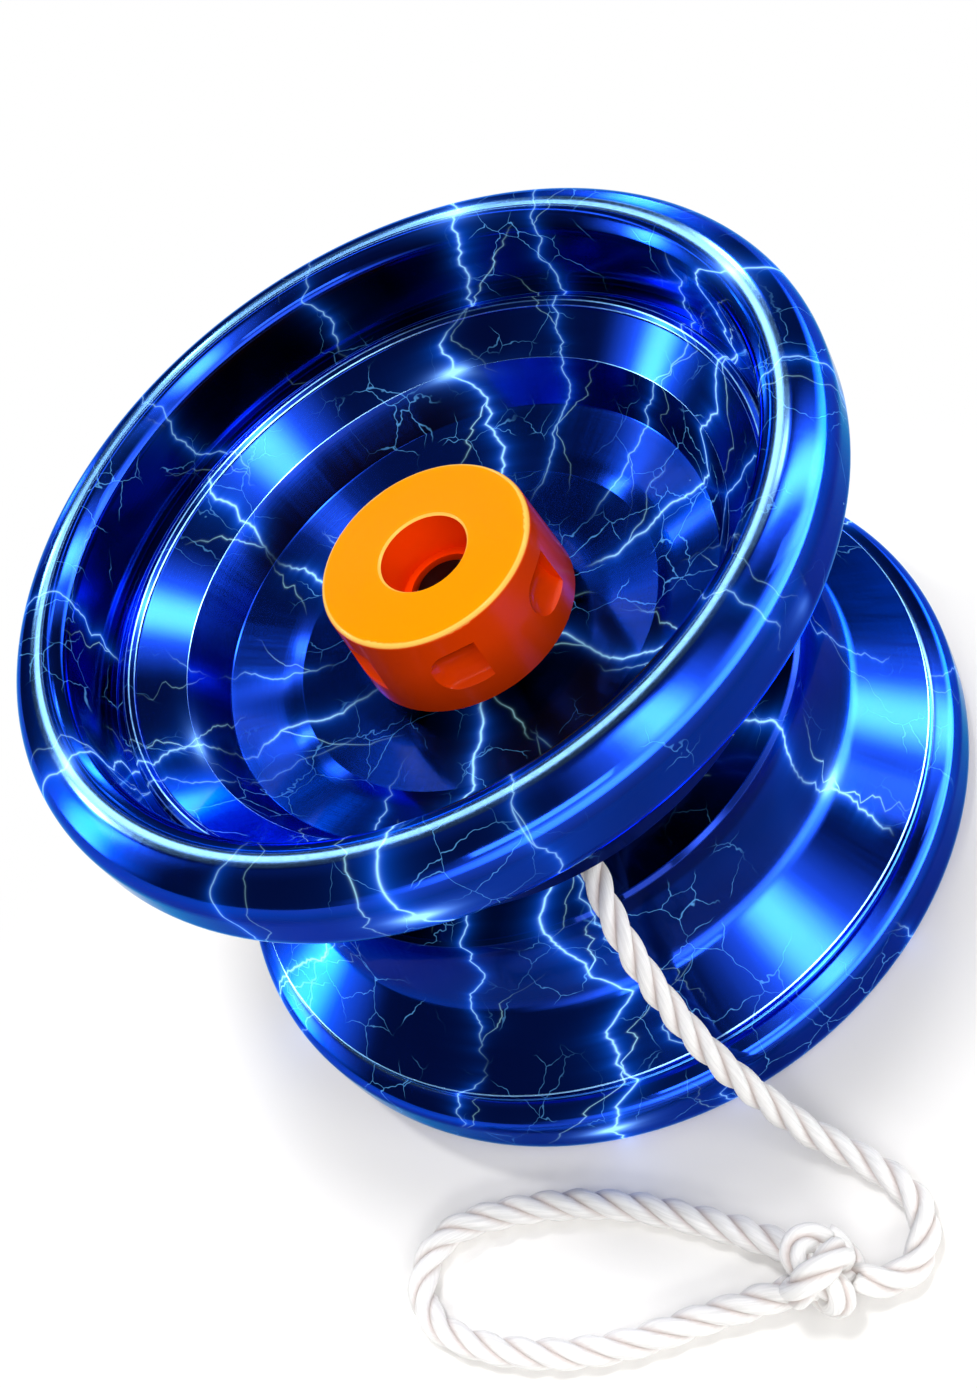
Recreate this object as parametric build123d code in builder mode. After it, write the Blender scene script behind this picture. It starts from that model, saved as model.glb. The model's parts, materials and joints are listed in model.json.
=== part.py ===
"""A ball-bearing yo-yo with side knobs that spin freely, lying on its lower rim.

The frame has its origin on the surface that the yo-yo lies on, with +Z up along the spin axis.
Each half is drawn once, in its own section: r is the distance from the spin axis and h is the
distance from the middle plane of the string gap. Every length is in millimetres.
"""

from build123d import *

import os
from math import pi, radians, tan

# --- The whole yo-yo
RIM_R = 28.0  # outside radius of the rim
WIDTH = 37.2  # from one rim's crest to the other
GAP = 4.0  # the string gap, between the two hub faces
RUNNING = 0.03  # radial clearance of a shaft that turns or slides in its hole
MID_Z = WIDTH / 2

# --- Rim ring
RING_WALL = 4.4  # from its bore to its outside
RING_FRONT_ROUND = 2.5  # what this and the next leave between them is the flat crest
RING_BORE_ROUND = 1.4
RING_BACK_ROUND = 1.7
RING_HEIGHT = 6.0  # from the face of the wing that it is pressed against to its crest
TONGUE_WALL = 0.9  # the ring's tongue, which stands in the wing's groove
TONGUE_DEPTH = 0.9
GROOVE_OPEN = 0.6  # what is left open of the groove, beside the tongue

# --- Shell: hub and wing
HUB_R = 20.2  # the edge of the hub face
HUB_EDGE_CHAMFER = 0.3
FLANK_HOLLOW = 0.35  # how far the hub's flank is dished in
LEDGE_R = 21.4  # the crisp ledge where the hub's flank ends
LEDGE_H = 8.3
LEDGE_DROP = 0.75
LEDGE_STEP = 0.5
WING_EDGE_T = 0.65  # the wing's thickness at its outer edge
LIP_WALL = 0.95  # the bead on the cup's side of the groove
LIP_SET_BACK = 0.7  # from the ring's seat down to the foot of the bead
LIP_RISE = 0.45
LIP_CHAMFER = 0.28
OUTER_BAND_R = 19.3  # the inner edge of the cup's outer band
OUTER_BAND_DROP = 2.0  # from the foot of the bead down to that edge
INNER_BAND_R = 17.7  # the foot of the cup's steep step
INNER_BAND_H = 6.8
DISH_STEP_R = 14.0
DISH_STEP_H = 5.57
DISH_R = 13.0
DISH_H = 5.15
FLOOR_R = 9.0
FLOOR_H = 4.8

# --- Response pad
PAD_IN_R = 8.2
PAD_OUT_R = 10.2
PAD_T = 1.0

# --- Main bearing, of the size that yo-yos share
MAIN_BORE_R = 3.175
MAIN_OUT_R = 6.35
MAIN_W = 4.76
MAIN_BALL_R = 0.79
MAIN_BALLS = 10
MAIN_LAND = 0.49  # from the balls' circle to the edge of each race
MAIN_SHIELD_T = 0.25
MAIN_SHIELD_SEAT = 0.3  # how far the shields and clips stand in the outer race
MAIN_SHIELD_SET_BACK = 0.5
CLIP_T = 0.3
CLIP_W = 0.35
CLIP_OPEN = 30  # degrees
RECESS_CLEAR = 0.35  # between the outer race and the shell round it

# --- Axle, spacers and posts
AXLE_R = 2.0
AXLE_CHAMFER = 0.3
AXLE_END_CLEAR = 0.2
SPACER_R = 4.0
SPACER_FLANGE = 0.72
SPACER_MEET = 0.2  # between the two spacers, inside the bearing
POST_SHANK_R = 3.2
POST_HEX = 9.0  # across the flats
POST_SHOULDER = 0.2
POST_END_WALL = 0.6  # between the axle's hole and the knob's journal

# --- Knob bearing, and the screw that keeps it on its post
KNOB_BORE_R = 1.5875
KNOB_OUT_R = 3.175
KNOB_W = 2.78
KNOB_BALL_R = 0.5
KNOB_BALLS = 7
KNOB_LAND = 0.28
KNOB_SHIELD_T = 0.2
KNOB_SHIELD_SEAT = 0.12
KNOB_SHIELD_SET_BACK = 0.1

# --- What both kinds of bearing share
SHIELD_CLEAR = 0.06  # between a shield and the inner race
POCKET_CLEAR = 0.05  # round each ball in its cage
CAGE_CLEAR = 0.09  # between a cage and the races
CAGE_BACK = 0.35  # behind the balls
CAGE_RISE = 0.3  # how far its fingers reach past the balls' middles
SCREW_R = 1.0
SCREW_LENGTH = 2.0
SCREW_HEAD_R = 2.05
SCREW_HEAD_T = 0.55
SCREW_SOCKET = 1.3
SCREW_SOCKET_DEPTH = 0.35

# --- Knob
KNOB_BASE_H = 6.2
KNOB_BASE_R = 7.75
KNOB_FACE_R = 7.35
KNOB_HEIGHT = 6.9
KNOB_HOLE_R = 3.05
KNOB_LEDGE_R = 2.5
KNOB_LEDGE_T = 0.62
KNOB_EDGE_ROUND = 0.4
KNOB_HOLE_CHAMFER = 0.15
KNOB_BASE_CHAMFER = 0.15
KNOB_RELIEF_IN_R = 4.3
KNOB_RELIEF_OUT_R = 5.9
KNOB_RELIEF_DEPTH = 2.2
SCOOPS = 6
SCOOP_TURN = 16  # degrees, from +X to the first scoop
SCOOP_R = 2.1  # of the round cutter, which lies across the knob
SCOOP_LENGTH = 2.2
SCOOP_DEPTH = 0.85
SCOOP_UP = 3.55  # from the knob's base to the middle of the scoops

# --- String: 0.8 m, most of it wound on the bearing in two lanes of five turns
STRING_D = 1.8
WINDING_TURNS = 5
TURN_PITCH = 1.75
WINDING_CLEAR = 0.25  # between the winding and each hub face
KNOT_R = 2.75
KNOT_HEIGHT = 4.8
KNOT_CHAMFER = 1.2
KNOT_FOOT = (-6.3, -40.3, 0)
ARC_SHARE = 0.45  # how much of a run an arc at its end may take up
# Route points, along the middle of the string
TAIL_ROUTE = [
    (3.4, -13.3, 18.6),
    (0.5, -13.95, 18.6),
    (-1.4, -15.3, 18.6),
    (-2.6, -17.2, 18.6),
    (-3.3, -19.7, 18.5),
    (-3.95, -22.3, 17.0),
    (-4.2, -24.3, 13.8),
    (-4.1, -26.5, 10.6),
    (-3.6, -28.9, 8.0),
    (-2.8, -30.6, 4.9),
    (-1.8, -32.6, 2.2),
    (-0.2, -35.3, 0.95),
    (0.9, -37.9, 0.95),
    (1.3, -40.2, 0.95),
    (0.4, -42.1, 0.95),
    (-1.3, -43.3, 1.0),
    (-3.4, -43.0, 1.4),
    (-4.8, -41.6, 1.9),
]
LOOP_ROUTE = [
    (-6.7, -38.2, 2.0),
    (-8.3, -35.6, 1.3),
    (-10.7, -32.7, 0.95),
    (-13.5, -29.5, 0.95),
    (-17.0, -26.6, 0.95),
    (-20.9, -24.3, 0.95),
    (-24.8, -22.8, 0.95),
    (-27.1, -23.2, 0.95),
    (-28.8, -24.8, 0.95),
    (-29.3, -27.0, 0.95),
    (-28.5, -29.2, 0.95),
    (-26.1, -32.0, 0.95),
    (-22.5, -34.8, 0.95),
    (-18.5, -36.8, 0.95),
    (-14.2, -38.0, 0.95),
    (-10.9, -39.2, 1.3),
    (-8.4, -40.0, 1.9),
]

# --- Sizes that follow from the ones above
FACE_H = GAP / 2
TOP_H = WIDTH / 2
RING_SEAT_H = TOP_H - RING_HEIGHT
WING_EDGE_H = RING_SEAT_H - WING_EDGE_T
LIP_FOOT_H = RING_SEAT_H - LIP_SET_BACK
LIP_TOP_H = LIP_FOOT_H + LIP_RISE
OUTER_BAND_H = LIP_FOOT_H - OUTER_BAND_DROP
RING_BORE_R = RIM_R - RING_WALL
WING_R = RIM_R - RING_BACK_ROUND
TONGUE_R = RING_BORE_R + TONGUE_WALL
GROOVE_R = RING_BORE_R - GROOVE_OPEN
GROOVE_H = RING_SEAT_H - TONGUE_DEPTH
LIP_R = GROOVE_R - LIP_WALL
PAD_FLOOR_H = FACE_H + PAD_T
RACE_H = MAIN_W / 2
RECESS_R = MAIN_OUT_R + RECESS_CLEAR
RECESS_H = RACE_H + RECESS_CLEAR
SPACER_BACK_H = RACE_H + SPACER_FLANGE
KNOB_RACE_TOP_H = KNOB_BASE_H + KNOB_W
POST_SHOULDER_H = KNOB_BASE_H - POST_SHOULDER
AXLE_HOLE_H = KNOB_BASE_H - POST_END_WALL
AXLE_HALF = AXLE_HOLE_H - AXLE_END_CLEAR
KNOB_TOP_H = KNOB_BASE_H + KNOB_HEIGHT
LEDGE_TOP_H = KNOB_RACE_TOP_H + KNOB_LEDGE_T
KNOB_SHOULDER_R = (KNOB_BORE_R + KNOB_OUT_R) / 2 - KNOB_LAND
WINDING_OUT_R = MAIN_OUT_R + (WINDING_TURNS - 1) * TURN_PITCH + STRING_D

# --- The two halves' planes: each section has x = r and y = h, and each face plane looks outward
MIDDLE = (0, 0, MID_Z)
SECTION = {
    "lower": Plane(origin=MIDDLE, x_dir=(1, 0, 0), z_dir=(0, 1, 0)),
    "upper": Plane(origin=MIDDLE, x_dir=(1, 0, 0), z_dir=(0, -1, 0)),
}
OUTWARD = {
    "lower": Plane(origin=MIDDLE, x_dir=(1, 0, 0), z_dir=(0, 0, -1)),
    "upper": Plane(origin=MIDDLE, x_dir=(1, 0, 0), z_dir=(0, 0, 1)),
}


def corner(section, r, h):
    """The corner of a drawn section that lies at r and h."""
    return section.vertices().sort_by_distance((r, h))[0]


def save(piece, name):
    """Label a finished piece and write it as its own file."""
    piece.part.label = name
    export_step(piece.part, f"parts/{name}.step")


def make_shell(side):
    """The hub and wing: string face and flank on one side, the stepped cup on the other."""
    with BuildPart() as shell:
        with BuildSketch(SECTION[side]) as section:
            with BuildLine():
                Polyline(
                    (LEDGE_R, LEDGE_H),
                    (LEDGE_R + LEDGE_STEP, LEDGE_H + LEDGE_DROP),
                    (WING_R, WING_EDGE_H),
                    (WING_R, RING_SEAT_H),
                    (TONGUE_R, RING_SEAT_H),
                    (TONGUE_R, GROOVE_H),
                    (GROOVE_R, GROOVE_H),
                    (GROOVE_R, LIP_TOP_H),
                    (LIP_R, LIP_TOP_H),
                    (LIP_R, LIP_FOOT_H),
                    (OUTER_BAND_R, OUTER_BAND_H),
                    (INNER_BAND_R, INNER_BAND_H),
                    (DISH_STEP_R, DISH_STEP_H),
                    (DISH_R, DISH_H),
                    (FLOOR_R, FLOOR_H),
                    (POST_SHANK_R, FLOOR_H),
                    (POST_SHANK_R, SPACER_BACK_H),
                    (SPACER_R, SPACER_BACK_H),
                    (SPACER_R, RECESS_H),
                    (RECESS_R, RECESS_H),
                    (RECESS_R, FACE_H),
                    (PAD_IN_R, FACE_H),
                    (PAD_IN_R, PAD_FLOOR_H),
                    (PAD_OUT_R, PAD_FLOOR_H),
                    (PAD_OUT_R, FACE_H),
                    (HUB_R, FACE_H),
                )
                flank_mid = ((HUB_R + LEDGE_R) / 2 - FLANK_HOLLOW, (FACE_H + LEDGE_H) / 2)
                ThreePointArc((HUB_R, FACE_H), flank_mid, (LEDGE_R, LEDGE_H))
            make_face()
            chamfer(corner(section, HUB_R, FACE_H), HUB_EDGE_CHAMFER)
            chamfer(corner(section, GROOVE_R, LIP_TOP_H), LIP_CHAMFER)
            chamfer(corner(section, LIP_R, LIP_TOP_H), LIP_CHAMFER)
        revolve(axis=Axis.Z)
    save(shell, f"{side}_shell")


def make_rim_ring(side):
    """The heavy rim ring, whose tongue is pressed into the wing's groove."""
    with BuildPart() as rim_ring:
        with BuildSketch(SECTION[side]) as section:
            with BuildLine():
                Polyline(
                    (RING_BORE_R, GROOVE_H),
                    (TONGUE_R, GROOVE_H),
                    (TONGUE_R, RING_SEAT_H),
                    (RIM_R, RING_SEAT_H),
                    (RIM_R, TOP_H),
                    (RING_BORE_R, TOP_H),
                    close=True,
                )
            make_face()
            fillet(corner(section, RIM_R, TOP_H), RING_FRONT_ROUND)
            fillet(corner(section, RING_BORE_R, TOP_H), RING_BORE_ROUND)
            fillet(corner(section, RIM_R, RING_SEAT_H), RING_BACK_ROUND)
        revolve(axis=Axis.Z)
    save(rim_ring, f"{side}_rim_ring")


def make_response_pad(side):
    """The silicone ring that fills its groove flush with the hub face."""
    with BuildPart() as response_pad:
        with BuildSketch(OUTWARD[side].offset(FACE_H)):
            Circle(PAD_OUT_R)
            Circle(PAD_IN_R, mode=Mode.SUBTRACT)
        extrude(amount=PAD_T)
    save(response_pad, f"{side}_response_pad")


def make_spacer(side):
    """The flanged bush that stands in the main bearing's inner race."""
    with BuildPart() as spacer:
        with BuildSketch(SECTION[side]):
            with BuildLine():
                Polyline(
                    (AXLE_R + RUNNING, SPACER_MEET / 2),
                    (MAIN_BORE_R - RUNNING, SPACER_MEET / 2),
                    (MAIN_BORE_R - RUNNING, RACE_H),
                    (SPACER_R, RACE_H),
                    (SPACER_R, SPACER_BACK_H),
                    (AXLE_R + RUNNING, SPACER_BACK_H),
                    close=True,
                )
            make_face()
        revolve(axis=Axis.Z)
    save(spacer, f"{side}_spacer")


def make_post(side):
    """The post through the hub: a nut for the axle on one end, the knob's journal on the other."""
    with BuildPart() as post:
        with BuildSketch(SECTION[side]):
            with BuildLine():
                Polyline(
                    (AXLE_R + RUNNING, SPACER_BACK_H),
                    (POST_SHANK_R, SPACER_BACK_H),
                    (POST_SHANK_R, POST_SHOULDER_H),
                    (KNOB_SHOULDER_R, POST_SHOULDER_H),
                    (KNOB_SHOULDER_R, KNOB_BASE_H),
                    (KNOB_BORE_R, KNOB_BASE_H),
                    (KNOB_BORE_R, KNOB_RACE_TOP_H),
                    (SCREW_R, KNOB_RACE_TOP_H),
                    (SCREW_R, KNOB_RACE_TOP_H - SCREW_LENGTH),
                    (0, KNOB_RACE_TOP_H - SCREW_LENGTH),
                    (0, AXLE_HOLE_H),
                    (AXLE_R + RUNNING, AXLE_HOLE_H),
                    close=True,
                )
            make_face()
        revolve(axis=Axis.Z)
        with BuildSketch(OUTWARD[side].offset(FLOOR_H)):
            RegularPolygon(POST_HEX / 2, 6, major_radius=False)
            Circle(POST_SHANK_R, mode=Mode.SUBTRACT)
        extrude(amount=POST_SHOULDER_H - FLOOR_H)
    save(post, f"{side}_post")


def make_post_screw(side):
    """The low-headed socket screw that keeps the knob's bearing on its post."""
    with BuildPart() as post_screw:
        with BuildSketch(OUTWARD[side].offset(KNOB_RACE_TOP_H)):
            Circle(SCREW_HEAD_R)
        extrude(amount=SCREW_HEAD_T)
        with BuildSketch(OUTWARD[side].offset(KNOB_RACE_TOP_H)):
            Circle(SCREW_R)
        extrude(amount=-SCREW_LENGTH)
        with BuildSketch(OUTWARD[side].offset(KNOB_RACE_TOP_H + SCREW_HEAD_T)):
            RegularPolygon(SCREW_SOCKET / 2, 6, major_radius=False)
        extrude(amount=-SCREW_SOCKET_DEPTH, mode=Mode.SUBTRACT)
    save(post_screw, f"{side}_post_screw")


def make_axle():
    """The stud that screws into both posts and draws the halves together."""
    with BuildPart() as axle:
        with BuildSketch(OUTWARD["upper"].offset(-AXLE_HALF)):
            Circle(AXLE_R)
        extrude(amount=2 * AXLE_HALF)
        chamfer(axle.faces().filter_by(Axis.Z).edges(), AXLE_CHAMFER)
    save(axle, "axle")


def make_knob(side):
    """The side knob: open in front, a bearing seat behind its ledge, grip scoops round its side."""
    with BuildPart() as knob:
        with BuildSketch(SECTION[side]) as section:
            with BuildLine():
                Polyline(
                    (KNOB_OUT_R, KNOB_BASE_H),
                    (KNOB_RELIEF_IN_R, KNOB_BASE_H),
                    (KNOB_RELIEF_IN_R, KNOB_BASE_H + KNOB_RELIEF_DEPTH),
                    (KNOB_RELIEF_OUT_R, KNOB_BASE_H + KNOB_RELIEF_DEPTH),
                    (KNOB_RELIEF_OUT_R, KNOB_BASE_H),
                    (KNOB_BASE_R, KNOB_BASE_H),
                    (KNOB_FACE_R, KNOB_TOP_H),
                    (KNOB_HOLE_R, KNOB_TOP_H),
                    (KNOB_HOLE_R, LEDGE_TOP_H),
                    (KNOB_LEDGE_R, LEDGE_TOP_H),
                    (KNOB_LEDGE_R, KNOB_RACE_TOP_H),
                    (KNOB_OUT_R, KNOB_RACE_TOP_H),
                    close=True,
                )
            make_face()
            fillet(corner(section, KNOB_FACE_R, KNOB_TOP_H), KNOB_EDGE_ROUND)
            chamfer(corner(section, KNOB_HOLE_R, KNOB_TOP_H), KNOB_HOLE_CHAMFER)
            chamfer(corner(section, KNOB_BASE_R, KNOB_BASE_H), KNOB_BASE_CHAMFER)
        revolve(axis=Axis.Z)
        scoop_middle = (KNOB_BASE_R + KNOB_FACE_R) / 2 - SCOOP_DEPTH + SCOOP_R
        with Locations(OUTWARD[side].offset(KNOB_BASE_H + SCOOP_UP)):
            with PolarLocations(scoop_middle, SCOOPS, SCOOP_TURN):
                Cylinder(SCOOP_R, SCOOP_LENGTH, rotation=(90, 0, 0), mode=Mode.SUBTRACT)
                with Locations((0, -SCOOP_LENGTH / 2), (0, SCOOP_LENGTH / 2)):
                    Sphere(SCOOP_R, mode=Mode.SUBTRACT)
    save(knob, f"{side}_knob")


def make_bearing(name, section, facing, size):
    """A shielded ball bearing round the plane "facing", drawn in the plane "section"."""
    circle_r = (size["bore_r"] + size["out_r"]) / 2
    land_in = circle_r - size["land"]
    land_out = circle_r + size["land"]
    half_w = size["width"] / 2
    seat_h = half_w - size["shield_set_back"] - size["shield_t"]
    seat_r = land_out + size["shield_seat"]

    with BuildPart() as inner_race:
        with BuildSketch(section):
            with Locations(((size["bore_r"] + land_in) / 2, 0)):
                Rectangle(land_in - size["bore_r"], size["width"])
            with Locations((circle_r, 0)):
                Circle(size["ball_r"] + RUNNING, mode=Mode.SUBTRACT)
        revolve(axis=Axis.Z)
    save(inner_race, f"{name}_inner_race")

    with BuildPart() as outer_race:
        with BuildSketch(section):
            with Locations(((size["out_r"] + land_out) / 2, 0)):
                Rectangle(size["out_r"] - land_out, size["width"])
            with Locations((circle_r, 0)):
                Circle(size["ball_r"] + RUNNING, mode=Mode.SUBTRACT)
            with Locations((land_out, (seat_h + half_w) / 2), (land_out, -(seat_h + half_w) / 2)):
                Rectangle(2 * size["shield_seat"], half_w - seat_h, mode=Mode.SUBTRACT)
        revolve(axis=Axis.Z)
    save(outer_race, f"{name}_outer_race")

    with BuildPart(facing) as balls:
        with PolarLocations(circle_r, size["balls"]):
            Sphere(size["ball_r"])
    save(balls, f"{name}_balls")

    with BuildPart(facing) as cage:
        back_h = -size["ball_r"] - CAGE_BACK
        with BuildSketch(facing.offset(back_h)):
            Circle(land_out - CAGE_CLEAR)
            Circle(land_in + CAGE_CLEAR, mode=Mode.SUBTRACT)
        extrude(amount=CAGE_RISE - back_h)
        with PolarLocations(circle_r, size["balls"]):
            Sphere(size["ball_r"] + POCKET_CLEAR, mode=Mode.SUBTRACT)
    save(cage, f"{name}_cage")

    with BuildPart() as shields:
        with BuildSketch(section):
            shield_in = land_in + SHIELD_CLEAR
            shield_h = seat_h + size["shield_t"] / 2
            with Locations(((shield_in + seat_r) / 2, shield_h), ((shield_in + seat_r) / 2, -shield_h)):
                Rectangle(seat_r - shield_in, size["shield_t"])
        revolve(axis=Axis.Z)
    save(shields, f"{name}_shields")

    if size["clip_t"]:
        with BuildPart() as clips:
            with BuildSketch(section):
                clip_h = seat_h + size["shield_t"] + size["clip_t"] / 2
                with Locations((seat_r - CLIP_W / 2, clip_h), (seat_r - CLIP_W / 2, -clip_h)):
                    Rectangle(CLIP_W, size["clip_t"])
            revolve(axis=Axis.Z, revolution_arc=360 - CLIP_OPEN)
        save(clips, f"{name}_clips")


def make_winding():
    """The wound string: one solid of the coil's outer shape, round the main bearing."""
    with BuildPart() as winding:
        with BuildSketch(OUTWARD["upper"].offset(WINDING_CLEAR - FACE_H)):
            Circle(WINDING_OUT_R)
            Circle(MAIN_OUT_R, mode=Mode.SUBTRACT)
        extrude(amount=GAP - 2 * WINDING_CLEAR)
    save(winding, "string_winding")


def make_knot():
    """The knot that closes the finger loop: its outer shape."""
    with BuildPart() as knot:
        with BuildSketch(Plane(KNOT_FOOT)):
            Circle(KNOT_R)
        extrude(amount=KNOT_HEIGHT)
        chamfer(knot.edges().filter_by(GeomType.CIRCLE), KNOT_CHAMFER)
    save(knot, "finger_knot")


def arc_radii(route):
    """For each corner of a route, the largest arc that its two runs leave room for."""
    runs = [Vector(*end) - Vector(*start) for start, end in zip(route, route[1:])]
    radii = []
    for before, after in zip(runs, runs[1:]):
        shorter = min(before.length, after.length)
        radii.append(ARC_SHARE * shorter / tan(radians(before.get_angle(after) / 2)))
    return radii


def make_tube(name, route):
    """A stretch of the string that isn't wound: straight runs joined by tangent arcs."""
    radii = arc_radii(route)
    with BuildPart() as tube:
        with BuildLine() as path:
            FilletPolyline(*route, radius=radii)
        with BuildSketch(Plane(origin=path.line @ 0, z_dir=path.line % 0)):
            Circle(STRING_D / 2)
        sweep()
    length = path.wire().length
    print(name, "radii", [round(radius, 1) for radius in radii])
    print(f"{name} length {length:.1f}, volume {tube.part.volume:.2f}, "
          f"section times length {pi * (STRING_D / 2) ** 2 * length:.2f}")
    save(tube, name)


MAIN_BEARING = {
    "bore_r": MAIN_BORE_R,
    "out_r": MAIN_OUT_R,
    "width": MAIN_W,
    "ball_r": MAIN_BALL_R,
    "balls": MAIN_BALLS,
    "land": MAIN_LAND,
    "shield_t": MAIN_SHIELD_T,
    "shield_seat": MAIN_SHIELD_SEAT,
    "shield_set_back": MAIN_SHIELD_SET_BACK,
    "clip_t": CLIP_T,
}
KNOB_BEARING = {
    "bore_r": KNOB_BORE_R,
    "out_r": KNOB_OUT_R,
    "width": KNOB_W,
    "ball_r": KNOB_BALL_R,
    "balls": KNOB_BALLS,
    "land": KNOB_LAND,
    "shield_t": KNOB_SHIELD_T,
    "shield_seat": KNOB_SHIELD_SEAT,
    "shield_set_back": KNOB_SHIELD_SET_BACK,
    "clip_t": 0,
}

os.makedirs("parts", exist_ok=True)
make_axle()
make_bearing("main_bearing", SECTION["upper"], OUTWARD["upper"], MAIN_BEARING)
for half in ("lower", "upper"):
    make_shell(half)
    make_rim_ring(half)
    make_response_pad(half)
    make_spacer(half)
    make_post(half)
    make_post_screw(half)
    make_knob(half)
    knob_race = OUTWARD[half].offset(KNOB_BASE_H + KNOB_W / 2)
    knob_section = Plane(knob_race.origin, x_dir=(1, 0, 0), z_dir=SECTION[half].z_dir)
    make_bearing(f"{half}_knob_bearing", knob_section, knob_race, KNOB_BEARING)
make_winding()
make_tube("string_tail", TAIL_ROUTE)
make_knot()
make_tube("finger_loop", LOOP_ROUTE)
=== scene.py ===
"""A yo-yo with two turned and anodised halves, free-turning thumb knobs and its string.

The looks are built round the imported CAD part, which is the fixed frame. Lengths are in metres
unless a name or comment says millimetres. The spin axis is Z through the origin, and the yo-yo
lies on the rim of its lower half.
"""

import json
import math

import bmesh
import bpy
import numpy as np
from bpy.props import FloatProperty, FloatVectorProperty, IntProperty, PointerProperty
from mathutils import Matrix, Vector

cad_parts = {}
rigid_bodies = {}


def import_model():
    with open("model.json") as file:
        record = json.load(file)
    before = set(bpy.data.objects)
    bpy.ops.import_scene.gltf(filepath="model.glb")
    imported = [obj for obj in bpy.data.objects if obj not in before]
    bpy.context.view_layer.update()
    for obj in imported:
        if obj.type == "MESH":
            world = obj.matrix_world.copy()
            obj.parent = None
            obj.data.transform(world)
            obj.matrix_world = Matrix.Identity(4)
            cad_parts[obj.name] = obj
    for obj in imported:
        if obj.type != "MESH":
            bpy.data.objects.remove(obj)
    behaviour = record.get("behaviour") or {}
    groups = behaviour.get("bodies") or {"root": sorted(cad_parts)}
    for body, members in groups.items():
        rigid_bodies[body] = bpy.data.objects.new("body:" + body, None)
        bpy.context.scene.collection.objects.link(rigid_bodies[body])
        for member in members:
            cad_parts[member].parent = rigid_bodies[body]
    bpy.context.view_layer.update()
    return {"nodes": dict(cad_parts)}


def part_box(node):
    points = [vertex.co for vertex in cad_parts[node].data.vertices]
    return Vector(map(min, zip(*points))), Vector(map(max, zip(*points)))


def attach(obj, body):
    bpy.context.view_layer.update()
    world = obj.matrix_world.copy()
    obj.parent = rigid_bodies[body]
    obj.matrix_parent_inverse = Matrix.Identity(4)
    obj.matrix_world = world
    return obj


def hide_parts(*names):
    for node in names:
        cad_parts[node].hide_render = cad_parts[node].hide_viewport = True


bl_info = {
    "name": "Ball Bearing Yo-yo",
    "version": (1, 0, 0),
    "blender": (4, 5, 0),
    "location": "3D View > Sidebar > Yo-yo",
    "description": "Builds a yo-yo's rims, wings, knobs, bearings and string round its CAD frame",
    "category": "Object",
}

for stray in list(bpy.data.objects):
    bpy.data.objects.remove(stray)
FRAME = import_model()
NODES = FRAME["nodes"]
MM = 0.001
HALVES = ("lower", "upper")

MIDDLE_Z = (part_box("lower_rim_ring")[0].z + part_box("upper_rim_ring")[1].z) / 2

# The string's free end and its finger loop, in millimetres, as the CAD part's own routes
# give them.
TAIL_ROUTE = (
    (3.4, -13.3, 18.6), (0.5, -13.95, 18.6), (-1.4, -15.3, 18.6), (-2.6, -17.2, 18.6),
    (-3.3, -19.7, 18.5), (-3.95, -22.3, 17.0), (-4.2, -24.3, 13.8), (-4.1, -26.5, 10.6),
    (-3.6, -28.9, 8.0), (-2.8, -30.6, 4.9), (-1.8, -32.6, 2.2), (-0.2, -35.3, 1.05),
    (0.9, -37.9, 1.05), (1.3, -40.2, 1.05), (0.4, -42.1, 1.05), (-1.3, -43.3, 1.0),
    (-3.3, -43.1, 1.4), (-4.6, -42.0, 1.9),
)
LOOP_ROUTE = (
    (-6.5, -38.6, 2.0), (-8.3, -35.7, 1.3), (-10.7, -32.7, 1.05), (-13.5, -29.5, 1.05),
    (-17.0, -26.6, 1.05), (-20.9, -24.3, 1.05), (-24.8, -22.8, 1.05), (-27.1, -23.2, 1.05),
    (-28.8, -24.8, 1.05), (-29.3, -27.0, 1.05), (-28.5, -29.2, 1.05), (-26.1, -32.0, 1.05),
    (-22.5, -34.8, 1.05), (-18.5, -36.8, 1.05), (-14.2, -38.0, 1.05), (-10.9, -39.2, 1.3),
    (-8.2, -40.3, 1.9),
)

# The winding: ten turns that climb in two lanes side by side, in millimetres.
FIRST_TURN_RADIUS = 7.25
TURN_PITCH = 1.75
TURN_LAYERS = (0, 0, 1, 1, 2, 2, 3, 3, 4, 4)
TURN_LANES = (-1, 1, 1, -1, -1, 1, 1, -1, -1, 1)
LANE_OFFSET = 0.85
TURN_POINTS = 16
LANE_CHANGE = 0.25  # the share of a turn in which the string climbs or changes lane
WINDING_END_ANGLE = math.radians(-75.7)

HANDLED = 1.14  # how much thicker handling has made the string by its finger loop
FREE_END = 0.046  # how far from its end the string is thicker, in metres
STRANDS = 3
STRAND_SIDES = 12
STRAND_SHARE = 0.51  # a strand's radius, as a share of the string's
HELIX_SHARE = 0.49  # how far out a strand's middle lies, as a share of the string's radius
LINE_SPACING = 0.4 * MM
KNOT_SPACING = 0.25 * MM

# The finger knot, in millimetres.
KNOT_MIDDLE = (-5.95, -40.85, 2.95)
KNOT_AXIS = (-0.75, 0.66, 0.0)
KNOT_RING_RADIUS = 1.4
KNOT_WEAVE = 0.5
KNOT_HALF_DEPTH = 1.3
KNOT_POINTS = 181

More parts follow.
